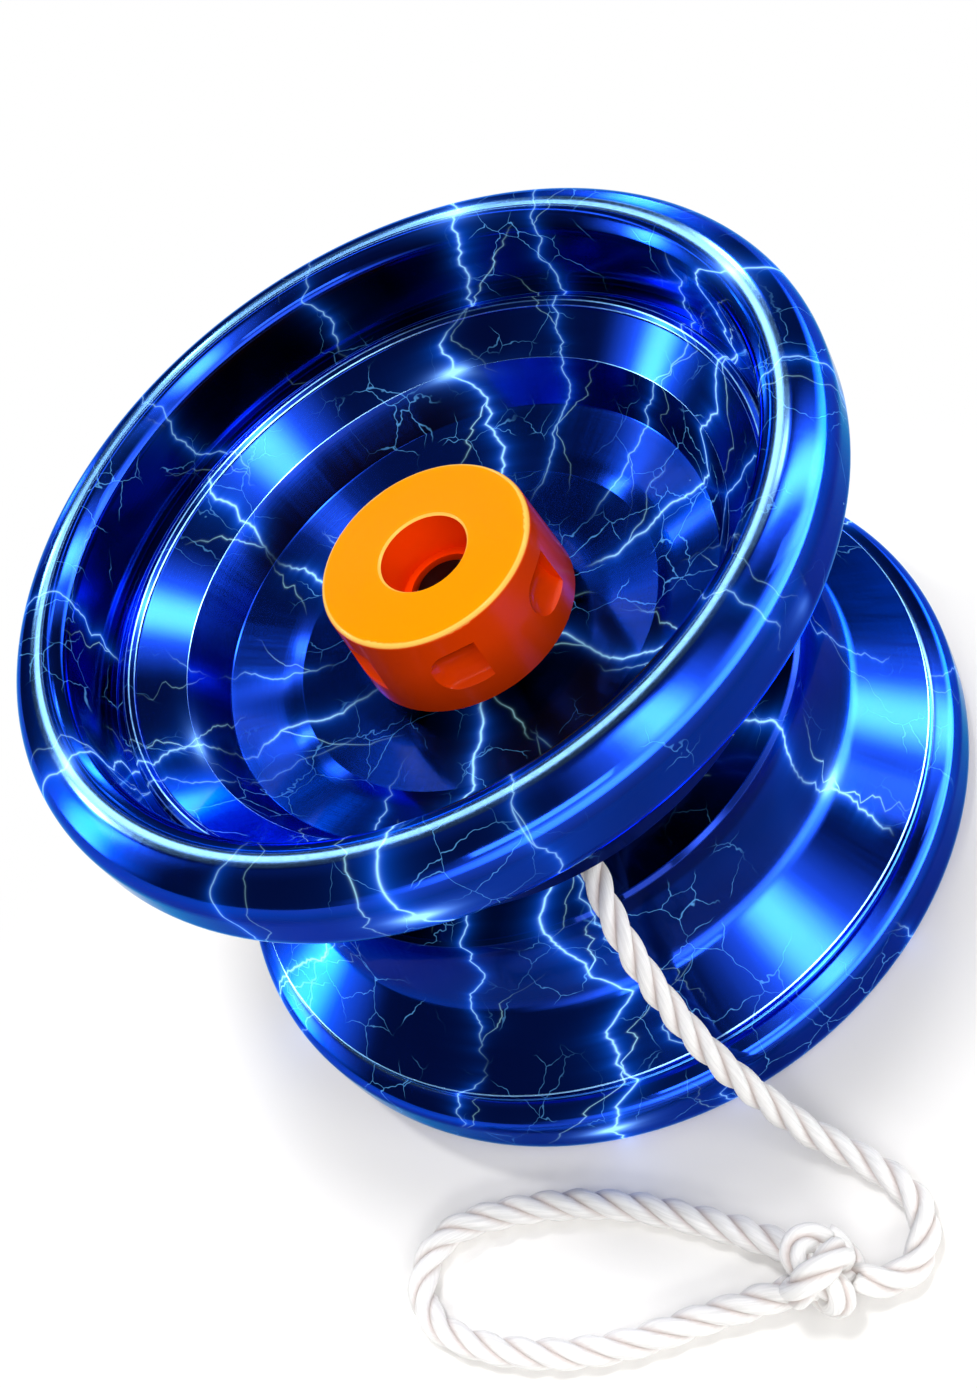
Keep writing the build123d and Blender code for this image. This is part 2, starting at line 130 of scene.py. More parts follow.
# Lightning. A kink has its own seed, its reach sideways and the run between two of them. A glow
# has its width and its power. A ridge where a bolt may flare has its radius, its height from the
# middle and the share of bolts that don't flare. Lengths are in millimetres. Seeds, and the
# numbers added to a bolt's name, only keep random draws apart.
HALF_SEEDS = (1.0, 4.0)
THIN_BOLTS = 4  # how many more there are of the thin ones
THIN_SEED = 2.3
THIN_SIZE = 0.62
BOLT_SWEEP = 20.0
BOLT_KINKS = ((17.0, 1.1, 2.6), (23.0, 0.42, 0.9))
FINE_KINK = (37.0, 0.13, 0.34)
FORK_KINK = (53.0, 0.6, 0.8)
FORK_LENGTH = 9.5
FULL_WIDTH_RADIUS = 24.0  # a bolt wanders less nearer the hub
CORE_WIDTH = 0.085
FORK_WIDTH = 0.055
NEAR_GLOW = (0.5, 0.55)
WIDE_GLOW = (1.5, 0.3)
FLARE_RIDGES = ((25.2, 18.6, 0.1), (19.3, 9.9, 0.4), (21.6, 8.7, 0.4), (28.0, 15.0, 0.2))

# Thin bolts, painted shade and highlights on the metal, and the knob's painted light and shade:
# where each band starts and ends, by radius or height from the middle in millimetres, or by how
# level the surface is, from 0 to 1.
THIN_START = (10.0, 15.0)
CUP_INSIDE = (24.6, 23.9)
CUP_STEEP = (0.8, 0.35)
OUTER_WALL = (27.3, 27.8)
WALL_LEVEL = (0.5, 0.1)
STRING_GAP = (4.0, 2.5)
DISH_EDGE = (17.9, 17.2)
DISH_HEIGHT = (4.0, 4.5)
CREST_HIGHLIGHT_LEVEL = (0.992, 0.9992)
CREST_HIGHLIGHT_HEIGHT = (10.0, 11.0)
SHADE_AND_STAIN_SHARE = 0.15  # the share of the blue left in the deepest painted shade, and in stains
LIT_FACE_LEVEL = (0.75, 0.97)
LIT_FACE_HEIGHT = (12.6, 12.9)
LIP_HIGHLIGHT_START, LIP_HIGHLIGHT_END = (0.3, 0.6), (0.985, 0.93)
LIP_HIGHLIGHT_HEIGHT = (11.9, 12.3)

MARKS_PER_MM = 8.0  # on the steel and brass

# Camera: where it stands, in metres, and the directions of its right, top and back.
CAMERA_PLACE = (0.0, -0.08799, 0.11125)
CAMERA_RIGHT = (0.80962, -0.41921, -0.41084)
CAMERA_TOP = (0.58674, 0.59716, 0.54693)
CAMERA_BACK = (0.01606, -0.68387, 0.72943)

# Lamps: name, place and size in metres, share of the lamp power, and whether metal mirrors it.
LAMPS = (
    ("key_lamp", (0.05, 0.06, 0.5), (0.1, 0.1), 0.75, False),
    ("left_lamp", (-0.15, 0.31, 0.43), (0.05, 0.05), 0.55, False),
    ("right_lamp", (0.45, -0.15, 0.25), (0.08, 0.3), 0.15, True),
    ("front_lamp", (-0.1, -0.45, 0.3), (0.3, 0.1), 0.5, True),
    ("front_fill", (-0.06, -0.28, 0.5), (0.3, 0.2), 0.45, False),
    ("right_fill", (0.25, -0.35, 0.3), (0.2, 0.2), 0.35, False),
)
LAMP_AIM = (0, 0, 0.0186)

# Sky: a dark dome and a card with a ring of light, which only reflections see. Angles are in
# degrees. A spoke has the way it faces and its power, and its wedges have the angles where they
# end and are full, and their power. A strip has the tilt it lights, its half width, softness and
# power, and where and how far round. The dome suits one direction to the camera.
SKY_TINT = (0.85, 0.95, 1.0)
SKY_DARK = 0.08
DOME_VIEW = (0.0, -0.6889, 0.7249)
DOME_RADIUS = 0.9
DOME_SPOKES = ((20, 1.0), (-168, 1.0), (-78, 0.9), (-38, 1.0), (135, 0.5))
CARD_SPOKES = ((4, 1.0), (-165, 1.0), (99, 0.7), (135, 0.6), (-45, 0.3), (60, 0.3))
SPOKE_WEDGES = ((17.0, 1.0, 3.0), (7.0, 0.5, 20.0))
SPOKE_TILTS = ((12.0, 24.0), (62.0, 45.0))
DOME_TOP_TILTS = (30.0, 6.0)
DOME_TOP_GLOW = 0.15
DOME_STRIPS = (
    (62.0, 2.0, 4.0, 7.0, -65, 45),
    (72.0, 14.0, 12.0, 5.0, -78, 9),
    (66.0, 12.0, 12.0, 26.0, -31, 13),
)

# The ring hangs where the crest of the rim mirrors it; its sizes are in millimetres. A band has
# the distances where it ends and is full, and its power. A bar has the way it faces and its power.
RING_PLACE = (0.0, 0.238, 0.237)
RING_RADIUS = 92.0
RING_BANDS = ((9.0, 3.0, 3.6), (21.0, 6.0, 0.7))
RING_BARS = ((8, 5.0), (138, 4.0))
BAR_WIDTH = (4.0, 0.5)
BAR_REACH = (70.0, 35.0)
CARD_RADIUS = 160.0
CARD_SPOKE_REACH = (95.0, 135.0)
CARD_SPOKE_POWER = 1.1

# Floor: the middle and radii of the part that isn't plain white are in millimetres.
FLOOR_WHITE = (0.98, 0.965, 0.94)
FLOOR_GLOW = 0.15
FLOOR_SHADE_MIDDLE = (-12.0, -20.0, 0.0)
FLOOR_SHADE_EDGE = (30.0, 62.0)

# Turned pieces, in millimetres: a sharp corner gets an arc of this radius, and a smooth bend
# reaches this far. A corner between long sides counts as sharp from a smaller turn.
SWEEP_STEPS = 192
CORNER_ROUND = 0.16
BEND_REACH = 0.8
LONG_SIDE = 1.0
SMOOTH_TURN = math.radians(30)
CREASE_TURN = math.radians(12)
ARC_STEP = math.radians(11)
STRAIGHT_SLACK = 0.002
MERGE = 1e-4

COLOUR = {"subtype": "COLOR", "size": 3, "min": 0, "max": 1}
SHARE = {"subtype": "FACTOR", "min": 0, "max": 1}


# --------------------------------------------------------------------------- settings


class YoyoMetal(bpy.types.PropertyGroup):
    """Finish of the two wings and rims."""

    blue: FloatVectorProperty(
        name="Anodised Blue",
        description="Colour of the dyed metal",
        default=(0.006, 0.042, 0.46),
        **COLOUR,
    )
    roughness: FloatProperty(
        name="Roughness",
        description="How far the turning marks blur reflections",
        default=0.125,
        **SHARE,
    )
    rim_roughness: FloatProperty(
        name="Rim Roughness",
        description="How far the polished rims blur reflections",
        default=0.1,
        **SHARE,
    )
    turning: FloatProperty(
        name="Turning Marks",
        description="How much the marks of the lathe stretch highlights across them",
        default=0.85,
        **SHARE,
    )
    # The cracks, like the bolts and their glow, are emitted as painted glow.
    crack_glow_colour: FloatVectorProperty(
        name="Crack Colour",
        description="Colour of the fine cracks between the bolts",
        default=(0.12, 0.42, 0.85),
        **COLOUR,
    )
    # The edge colour is a painted highlight: a lighter colour on sharp outer edges.
    edge_highlight_colour: FloatVectorProperty(
        name="Edge Colour",
        description="Colour of the edges, where the dye is thin",
        default=(0.3, 0.6, 0.95),
        **COLOUR,
    )
    bolts: IntProperty(
        name="Bolts",
        description="Number of main lightning bolts round each half",
        min=3,
        max=20,
        default=6,
    )
    bolt_colour: FloatVectorProperty(
        name="Bolt Colour",
        description="Colour at the heart of a bolt",
        default=(0.45, 0.9, 1.0),
        **COLOUR,
    )
    glow_colour: FloatVectorProperty(
        name="Glow Colour",
        description="Colour of the light round a bolt",
        default=(0.0, 0.12, 1.0),
        **COLOUR,
    )


class YoyoKnob(bpy.types.PropertyGroup):
    """Finish of the thumb knobs."""

    # The face colour and the side colour are a lit and a shaded copy of one orange: painted light
    # and shade. The colour of the rounded edge of the face is a painted highlight.
    face: FloatVectorProperty(
        name="Face Colour",
        description="Colour of the knob's flat face",
        default=(1.0, 0.28, 0.0),
        **COLOUR,
    )
    lip_highlight: FloatVectorProperty(
        name="Lip",
        description="Colour of the rounded edges of the face, where the plastic is thin",
        default=(1.0, 0.55, 0.1),
        **COLOUR,
    )
    side: FloatVectorProperty(
        name="Side Colour",
        description="Colour of the knob's sides and hole",
        default=(1.0, 0.06, 0.0),
        **COLOUR,
    )


class YoyoString(bpy.types.PropertyGroup):
    """Size and finish of the string."""

    diameter: FloatProperty(
        name="Diameter",
        description="Thickness of the laid string",
        unit="LENGTH",
        min=0.0005,
        max=0.004,
        precision=4,
        default=0.0018,
    )
    lay: FloatProperty(
        name="Lay Length",
        description="Length in which a strand turns once round the string",
        unit="LENGTH",
        min=0.002,
        max=0.02,
        precision=4,
        default=0.007,
    )
    cotton: FloatVectorProperty(
        name="Cotton Colour",
        description="Colour of the string",
        default=(0.93, 0.91, 0.89),
        **COLOUR,
    )
    # The groove colour is painted shade on the inward sides of the strands, where they meet.
    groove_shade: FloatVectorProperty(
        name="Grooves",
        description="Colour of the yarn between its strands",
        default=(0.58, 0.49, 0.46),
        **COLOUR,
    )


class YoyoStage(bpy.types.PropertyGroup):
    """Lamps, floor and camera."""

    lens: FloatProperty(
        name="Focal Length",
        description="Focal length of the camera",
        unit="CAMERA",
        min=10,
        max=200,
        default=48.19,
    )
    floor_size: FloatProperty(
        name="Floor Size",
        description="Length of each side of the floor",
        unit="LENGTH",
        min=0.5,
        max=20,
        default=6.0,
    )
    surroundings: FloatProperty(
        name="Surroundings",
        description="Strength of the white light from all round",
        min=0,
        max=2,
        default=0.2,
    )
    lamp_power: FloatProperty(
        name="Lamp Power",
        description="Power of the key lamp, which the other lamps follow",
        unit="POWER",
        min=0,
        max=50,
        default=1.5,
    )


# --------------------------------------------------------------------------- shader maths


def math_node(operation, swapped=False):
    """A method that adds one Math node, with its own Value last where swapped."""

    def method(self, *others):
        values = (*others, self) if swapped else (self, *others)
        return self.finish.maths(operation, *values)

    return method


class Value:
    """A socket's number or vector, on which arithmetic adds Math nodes."""

    def __init__(self, finish, socket):
        self.finish = finish
        self.socket = socket

    __add__ = math_node("ADD")
    __radd__ = math_node("ADD", swapped=True)
    __sub__ = math_node("SUBTRACT")
    __rsub__ = math_node("SUBTRACT", swapped=True)
    __mul__ = math_node("MULTIPLY")
    __truediv__ = math_node("DIVIDE")
    __pow__ = math_node("POWER")
    __gt__ = math_node("GREATER_THAN")
    __abs__ = math_node("ABSOLUTE")
    __floor__ = math_node("FLOOR")


class Finish:
    """A material's node tree, built by calls that return Values."""

    def __init__(self, name):
        self.material = bpy.data.materials.new(name)
        self.material.use_nodes = True
        self.start(self.material.node_tree)

    def start(self, tree):
        self.tree = tree
        self.tree.nodes.clear()

    @classmethod
    def on(cls, tree):
        """Build on another kind of tree, such as the world's."""
        finish = cls.__new__(cls)
        finish.start(tree)
        return finish

    def node(self, kind, settings=None, sockets=None, output=0):
        """Add a node: its settings first, then its sockets' values or links, by name or number."""
        made = self.tree.nodes.new(kind)
        for name, setting in (settings or {}).items():
            setattr(made, name, setting)
        for name, value in (sockets or {}).items():
            socket = made.inputs[name]
            if isinstance(value, Value):
                self.tree.links.new(value.socket, socket)
            elif socket.type == "RGBA":
                socket.default_value = (*value[:3], 1.0)
            else:
                socket.default_value = value
        return Value(self, made.outputs[output]) if made.outputs else made

    def maths(self, operation, *values):
        return self.node("ShaderNodeMath", {"operation": operation}, dict(enumerate(values)))

    def vector_maths(self, operation, *values):
        settings, sockets = {"operation": operation}, dict(enumerate(values))
        output = "Value" if operation == "LENGTH" else "Vector"
        return self.node("ShaderNodeVectorMath", settings, sockets, output)

    def vector(self, x, y, z=0.0):
        return self.node("ShaderNodeCombineXYZ", None, {0: x, 1: y, 2: z})

    def split(self, vector):
        made = self.node("ShaderNodeSeparateXYZ", None, {0: vector})
        return [Value(self, socket) for socket in made.socket.node.outputs]

    def clamp(self, value):
        return self.node("ShaderNodeClamp", None, {0: value})

    def step(self, value, start, end):
        """0 up to start and 1 from end, or the other way where start is above end.

        The change between them is smooth.
        """
        settings = {"interpolation_type": "SMOOTHSTEP"}
        if start < end:
            return self.node("ShaderNodeMapRange", settings, {0: value, 1: start, 2: end})
        return 1 - self.node("ShaderNodeMapRange", settings, {0: value, 1: end, 2: start})

    def mix(self, factor, first, second, blend="MIX"):
        """Mix two colours."""
        settings = {"data_type": "RGBA", "blend_type": blend}
        return self.node("ShaderNodeMix", settings, {0: factor, 6: first, 7: second}, output=2)

    def noise(self, scale, vector=None, detail=2.0, roughness=0.5, seed=None):
        settings = {"noise_dimensions": "3D" if seed is None else "4D"}
        sockets = {"Scale": scale, "Detail": detail, "Roughness": roughness}
        if vector is not None:
            sockets["Vector"] = vector
        if seed is not None:
            sockets["W"] = seed
        return self.node("ShaderNodeTexNoise", settings, sockets)

    def random(self, first, second):
        """A number from 0 to 1 that differs for each pair of numbers."""
        vector = self.vector(first, second)
        return self.node("ShaderNodeTexWhiteNoise", {"noise_dimensions": "2D"}, {0: vector})

    def place(self):
        """The point in millimetres in the piece's own frame."""
        return self.scaled(self.node("ShaderNodeTexCoord", output="Object"), 1 / MM)

    def scaled(self, vector, amount):
        settings, sockets = {"operation": "SCALE"}, {0: vector, "Scale": amount}
        return self.node("ShaderNodeVectorMath", settings, sockets)

    def bump(self, height, strength, distance=0.00002):
        return self.node(
            "ShaderNodeBump", None, {"Strength": strength, "Distance": distance, "Height": height}
        )

    def surface(self, **sockets):
        """Finish the material with a Principled shader."""
        values = {name.replace("_", " "): value for name, value in sockets.items()}
        self.output(self.node("ShaderNodeBsdfPrincipled", None, values))
        return self.material

    def output(self, shader):
        self.node("ShaderNodeOutputMaterial", None, {"Surface": shader})


# --------------------------------------------------------------------------- materials


def crooked(finish, along, name, kink):
    """Sideways offset of a line that kinks every run, by up to reach each way, in millimetres."""
    seed, reach, run = kink
    seed = name + seed
    place = along / run
    knot = math.floor(place)
    here = finish.random(seed, knot)
    there = finish.random(seed, knot + 1.0)
    return (here + (there - here) * (place - knot) - 0.5) * (2 * reach)


def falling(distance, width, power=1.5):
    """1 on a line and less with distance from it: a half or so at one width."""
    return ((distance / width) ** 2.0 + 1.0) ** -power


def lightning(finish, point, seed, bolts, size):
    """How bright one ring of bolts, their glow and their flares are on a turned piece.

    Every bolt has its own sector. It runs from the hub over the rim and back into the cup, and
    wanders, kinks and forks on the way.
    """
    x, y, z = finish.split(point)
    height = abs(z - MIDDLE_Z / MM)
    radius = (x * x + y * y) ** 0.5
    along = radius + height
    turn = finish.maths("ARCTAN2", y, x) / math.tau + 0.5

    place = turn * bolts + seed * 0.37
    sector = math.floor(place)
    name = finish.maths("FLOORED_MODULO", sector, float(bolts)) + seed * 7.0
    middle = (finish.random(name, 3.0) - 0.5) * 0.3 + 0.5
    sideways = (place - sector - middle) * radius * (math.tau / bolts)
    narrow = finish.clamp(radius / FULL_WIDTH_RADIUS)
    wander = crooked(finish, along, name, (11.0, BOLT_SWEEP / bolts, 8.0))
    for kink in BOLT_KINKS:
        wander = wander + crooked(finish, along, name, kink)
    fine = crooked(finish, along, name, FINE_KINK)
    main = abs(sideways - (wander + fine) * narrow)

    part = along / FORK_LENGTH + finish.random(name, 5.0) * 5.0
    part_name = math.floor(part)
    flip = finish.random(name + 41.0, part_name) > 0.5
    out = abs(part - part_name - flip)
    side = (finish.random(name + 43.0, part_name) > 0.5) * 2.0 - 1.0
    lean = finish.random(name + 47.0, part_name) * 0.4 + 0.35
    kinks = crooked(finish, along, name, FORK_KINK) * finish.clamp(out * 3.0)
    away = side * lean * out * FORK_LENGTH
    fork = abs(sideways - (wander + fine + kinks) * narrow - away)
    fork_fade = finish.clamp(1.0 - out * 1.35)

    there = finish.step(finish.noise(0.085, point, 1.0, seed=name), 0.4, 0.5)
    power = (finish.random(name, 9.0) * 0.5 + 0.5) * there
    branch = falling(fork, FORK_WIDTH * size) * fork_fade
    core = finish.maths("MAXIMUM", falling(main, CORE_WIDTH * size), branch)
    near = finish.maths("MINIMUM", main, fork + (1.0 - fork_fade) * 3.0)
    edge = finish.step(abs(place - sector - 0.5), 0.5, 0.4)
    halo = falling(near, NEAR_GLOW[0] * size) * NEAR_GLOW[1]
    halo = (halo + falling(main, WIDE_GLOW[0] * size) * WIDE_GLOW[1] * narrow) * edge
    flare = None
    for ridge_radius, ridge_height, rare in FLARE_RIDGES:
        off = (radius - ridge_radius) ** 2.0 + (height - ridge_height) ** 2.0
        lit = finish.random(name, ridge_radius) > rare
        spot = falling((main * main * 0.16 + off * 1.6) ** 0.5, 0.7) * lit * 2.0
        flare = spot if flare is None else flare + spot
    return power * core * edge, power * halo, power * flare * edge * size


def cracks(finish, point, seed):
    """A broken net of thin cracks, and specks between them, which the metal's finish makes glow as
    painted light.
    """
    bend = finish.node(
        "ShaderNodeTexNoise",
        {"noise_dimensions": "4D"},
        {"Vector": point, "W": seed, "Scale": 0.8, "Detail": 2.0, "Roughness": 0.6},
        output="Color",
    )
    warped = finish.vector_maths("ADD", point, finish.scaled(bend, 1.0))
    edge = finish.node(
        "ShaderNodeTexVoronoi",
        {"feature": "DISTANCE_TO_EDGE", "voronoi_dimensions": "4D"},
        {"Vector": warped, "W": seed, "Scale": 0.28},
    )
    line = finish.step(edge, 0.008, 0.001)
    broken = finish.step(finish.noise(0.22, point, 1.0, seed=seed + 2.0), 0.42, 0.52)
    region = finish.step(finish.noise(0.09, point, 1.0, seed=seed + 5.0), 0.47, 0.62)
    speck = finish.node(
        "ShaderNodeTexVoronoi",
        {"feature": "F1", "voronoi_dimensions": "4D"},
        {"Vector": point, "W": seed, "Scale": 0.55},
    )
    dots = finish.step(speck, 0.06, 0.02) * region
    return line * broken * region, dots


def darker(colour, share):
    return tuple(channel * share for channel in colour)


def anodised(name, seed, roughness, turning, crest):
    """Blue-dyed turned metal with glowing lightning and painted highlights.

    Sharp outer edges get a lighter colour as a painted edge highlight, and the crest argument sets
    a lighter band along the top of a rim, painted as a highlight. Steep walls, the outer rim wall,
    the string gap and the dish are darkened with painted shade.
    """
    look = bpy.context.scene.yoyo_metal
    finish = Finish(name)
    point = finish.place()
    x, y, z = finish.split(point)
    radius = (x * x + y * y) ** 0.5
    height = abs(z - MIDDLE_Z / MM)
    core, halo, flare = lightning(finish, point, seed, look.bolts, 1.0)
    thin_core, thin_halo, _ = lightning(
        finish, point, seed + THIN_SEED, look.bolts + THIN_BOLTS, THIN_SIZE
    )
    spread = finish.step(radius, *THIN_START)
    thin_core, thin_halo = thin_core * spread, thin_halo * spread
    net, dots = cracks(finish, point, seed)
    # Painted glow: the bolts, cracks, specks and flares are emitted light on the metal, and the
    # flares are painted glints on its ridges.
    white = finish.clamp(core * 1.5 + thin_core * 0.75 + flare * flare * 0.6 + dots * 0.4)
    blue = finish.clamp(halo + thin_halo * 0.6 + flare * 0.8)
    light = finish.mix(blue, (0.0, 0.0, 0.0), look.glow_colour)
    light = finish.mix(net * 0.7, light, look.crack_glow_colour, "ADD")
    light = finish.mix(white, light, look.bolt_colour, "ADD")

    marks = finish.noise(1.0, finish.vector(radius * 9.0, z * 9.0, seed), 2.0)
    around = finish.vector(x / radius * 60.0, y / radius * 60.0, radius * 0.15)
    streaks = finish.noise(1.0, around, 1.0)
    rough = roughness + (streaks - 0.5) * 0.08 + (marks - 0.5) * 0.04
    normal = finish.node("ShaderNodeTexCoord", output="Normal")
    level = abs(finish.split(normal)[2])
    # Painted shade: steep cup walls, the outer rim wall, the hub side of the string gap and the
    # dish round the knob are darkened as if in shade. Random stains darken the blue too.
    steep = finish.step(level, *CUP_STEEP) * finish.step(radius, *CUP_INSIDE)
    wall = finish.step(radius, *OUTER_WALL) * finish.step(level, *WALL_LEVEL)
    gap = finish.step(height, *STRING_GAP)
    dish = finish.step(radius, *DISH_EDGE) * finish.step(height, *DISH_HEIGHT)
    dye = finish.noise(0.12, point, 2.0, seed=seed + 9.0)
    stain = finish.step(dye, 0.65, 0.35) * 0.15
    dark = finish.clamp(steep * 0.75 + gap * 0.9 + wall * 0.55 + dish * 0.35 + stain)
    colour = finish.mix(dark, look.blue, darker(look.blue, SHADE_AND_STAIN_SHARE))
    edge = finish.node("ShaderNodeAttribute", {"attribute_name": "edge_highlight"}, output="Fac")
    # Painted highlights: a lighter band along the top of a rim, and a lighter colour on sharp
    # edges.
    top = finish.step(level, *CREST_HIGHLIGHT_LEVEL) * finish.step(height, *CREST_HIGHLIGHT_HEIGHT) * crest * 0.6
    painted_highlight = finish.clamp(edge * (1.0 - gap) + top)
    colour = finish.mix(painted_highlight, colour, look.edge_highlight_colour)
    rough = rough + edge * 0.25
    return finish.surface(
        Base_Color=colour,
        Metallic=1.0,
        Roughness=rough,
        Anisotropic=turning,
        Anisotropic_Rotation=0.25,
        Specular_Tint=(0.1, 0.5, 1.0),
        Coat_Weight=0.05,
        Coat_Roughness=0.04,
        Emission_Color=light,
        Emission_Strength=1.0,
        Normal=finish.bump(marks, 0.12),
    )


def gloss_plastic():
    """The knobs' plastic: a lighter orange face as painted light, a lighter edge round it as a
    painted highlight, deeper red sides as painted shade, and a faint orange-peel.
    """
    look = bpy.context.scene.yoyo_knob
    finish = Finish("knob_plastic")
    point = finish.place()
    normal = finish.node("ShaderNodeTexCoord", output="Normal")
    z = finish.split(point)[2]
    upright = abs(finish.split(normal)[2])
    height = abs(z - MIDDLE_Z / MM)
    face = finish.step(upright, *LIT_FACE_LEVEL) * finish.step(height, *LIT_FACE_HEIGHT)
    cloud = finish.noise(0.25, point, 2.0)
    side = finish.mix(cloud, darker(look.side, 0.9), look.side)
    colour = finish.mix(face, side, look.face)
    lip_highlight = finish.step(upright, *LIP_HIGHLIGHT_START) * finish.step(upright, *LIP_HIGHLIGHT_END)
    colour = finish.mix(lip_highlight * finish.step(height, *LIP_HIGHLIGHT_HEIGHT), colour, look.lip_highlight)
    return finish.surface(
        Base_Color=colour,
        Roughness=0.15 + (cloud - 0.5) * 0.06,
        Specular_IOR_Level=0.05,
        Normal=finish.bump(finish.noise(6.0, point, 2.0), 0.04),
    )


def metal(name, colour, roughness, turned=True):
    """A bright metal with lathe marks or a fine grain."""
    finish = Finish(name)
    point = finish.place()
    x, y, z = finish.split(point)
    if turned:
        radius = (x * x + y * y) ** 0.5
        grain = finish.noise(1.0, finish.vector(radius * MARKS_PER_MM, z * MARKS_PER_MM), 2.0)
    else:
        grain = finish.noise(MARKS_PER_MM, point, 3.0)
    stain = finish.noise(0.6, point, 3.0)
    return finish.surface(
        Base_Color=finish.mix(finish.step(stain, 0.35, 0.65), darker(colour, 0.8), colour),
        Metallic=1.0,
        Roughness=roughness + (grain - 0.5) * 0.12 + (stain - 0.5) * 0.08,
        Anisotropic=0.5 if turned else 0.0,
        Normal=finish.bump(grain, 0.15),
    )


def silicone():
    """The response pads' matt silicone."""
    finish = Finish("pad_silicone")
    point = finish.place()
    grain = finish.noise(9.0, point, 3.0)
    colour = finish.mix(finish.noise(0.8, point, 2.0), (0.5, 0.52, 0.55), (0.68, 0.7, 0.72))
    return finish.surface(
        Base_Color=colour,
        Roughness=0.55 + (grain - 0.5) * 0.2,
        Subsurface_Weight=0.1,
        Subsurface_Radius=(0.001, 0.001, 0.001),
        Normal=finish.bump(grain, 0.25),
    )


def cotton():
    """Laid cotton yarn: long fibres along each strand, a soft fuzz, and painted shade in the
    grooves between the strands.
    """
    look = bpy.context.scene.yoyo_string
    finish = Finish("string_yarn")
    point = finish.place()
    strand = finish.node("ShaderNodeUVMap", {"uv_map": "Strand"})
    along, around, _ = finish.split(strand)
    turn = around * math.tau + along * 0.55
    fibres = finish.noise(
        1.0,
        finish.vector(
            finish.maths("COSINE", turn) * 2.6, finish.maths("SINE", turn) * 2.6, along * 0.3
        ),
        4.0,
        0.65,
    )
    fuzz = finish.noise(5.0, point, 3.0, 0.7)
    thread = finish.step(fibres, 0.35, 0.62)
    # Painted shade: the groove colour darkens the strands' inward sides.
    facing = finish.node("ShaderNodeAttribute", {"attribute_name": "outward"}, output="Fac")
    outward = finish.step(facing, -0.5, 0.75)
    light = finish.mix(thread, darker(look.cotton, 0.86), look.cotton)
    return finish.surface(
        Base_Color=finish.mix(outward, look.groove_shade, light),
        Roughness=0.85 + (fuzz - 0.5) * 0.2,
        Sheen_Weight=0.25,
        Sheen_Roughness=0.5,
        Normal=finish.bump(fibres * 0.8 + fuzz * 0.35, 0.5, 0.00008),
    )


# --------------------------------------------------------------------------- pieces


def paint(node, material):
    """Give a CAD node its finish."""
    mesh = NODES[node].data
    mesh.materials.clear()
    mesh.materials.append(material)


def add_object(name, data):
    """Put a new object in the scene."""
    made = bpy.data.objects.new(name, data)
    bpy.context.scene.collection.objects.link(made)
    return made


def smooth_piece(name, vertices, faces, material):
    """A smooth-shaded mesh object."""
    mesh = bpy.data.meshes.new(name)
    mesh.from_pydata(vertices, [], faces)
    mesh.materials.append(material)
    mesh.polygons.foreach_set("use_smooth", [True] * len(faces))
    return add_object(name, mesh)


def point_values(piece, name, values):
    """Keep one number for each vertex, for the piece's material to read."""
    layer = piece.data.attributes.new(name, "FLOAT", "POINT")
    layer.data.foreach_set("value", values.astype(np.float32))


# --------------------------------------------------------------------------- turned pieces


def cut_section(node):
    """Corners, in millimetres, of a turned node's section by the half-plane through +X."""
    cut = bmesh.new()
    cut.from_mesh(NODES[node].data)
    bmesh.ops.scale(cut, vec=(1 / MM,) * 3, verts=cut.verts)
    bmesh.ops.remove_doubles(cut, verts=cut.verts, dist=MERGE)
    found = bmesh.ops.bisect_plane(
        cut,
        geom=[*cut.verts, *cut.edges, *cut.faces],
        dist=MERGE,
        plane_co=(0, 0, 0),
        plane_no=(0, 1, 0),
    )
    links = {}
    for edge in found["geom_cut"]:
        if isinstance(edge, bmesh.types.BMEdge) and all(v.co.x > 0 for v in edge.verts):
            first, second = edge.verts
            links.setdefault(first, []).append(second)
            links.setdefault(second, []).append(first)
    start = max(links, key=lambda v: v.co.x)
    loop, last, here = [start], None, start
    while True:
        last, here = here, next(v for v in links[here] if v is not last)
        if here is start:
            break
        loop.append(here)
    corners = [Vector((v.co.x, v.co.z)) for v in loop]
    cut.free()
    turning = sum(a.cross(b) for a, b in zip(corners, corners[1:] + corners[:1]))
    if turning < 0:
        corners.reverse()
    return without_straights(corners)


def without_straights(corners):
    """Leave out each point that lies on the line between its neighbours."""
    kept = []
    for index, here in enumerate(corners):
        before = kept[-1] if kept else corners[index - 1]
        after = corners[(index + 1) % len(corners)]
        run = after - before
        if run.length > 0 and abs(run.cross(here - before)) / run.length > STRAIGHT_SLACK:
            kept.append(here)
    return kept


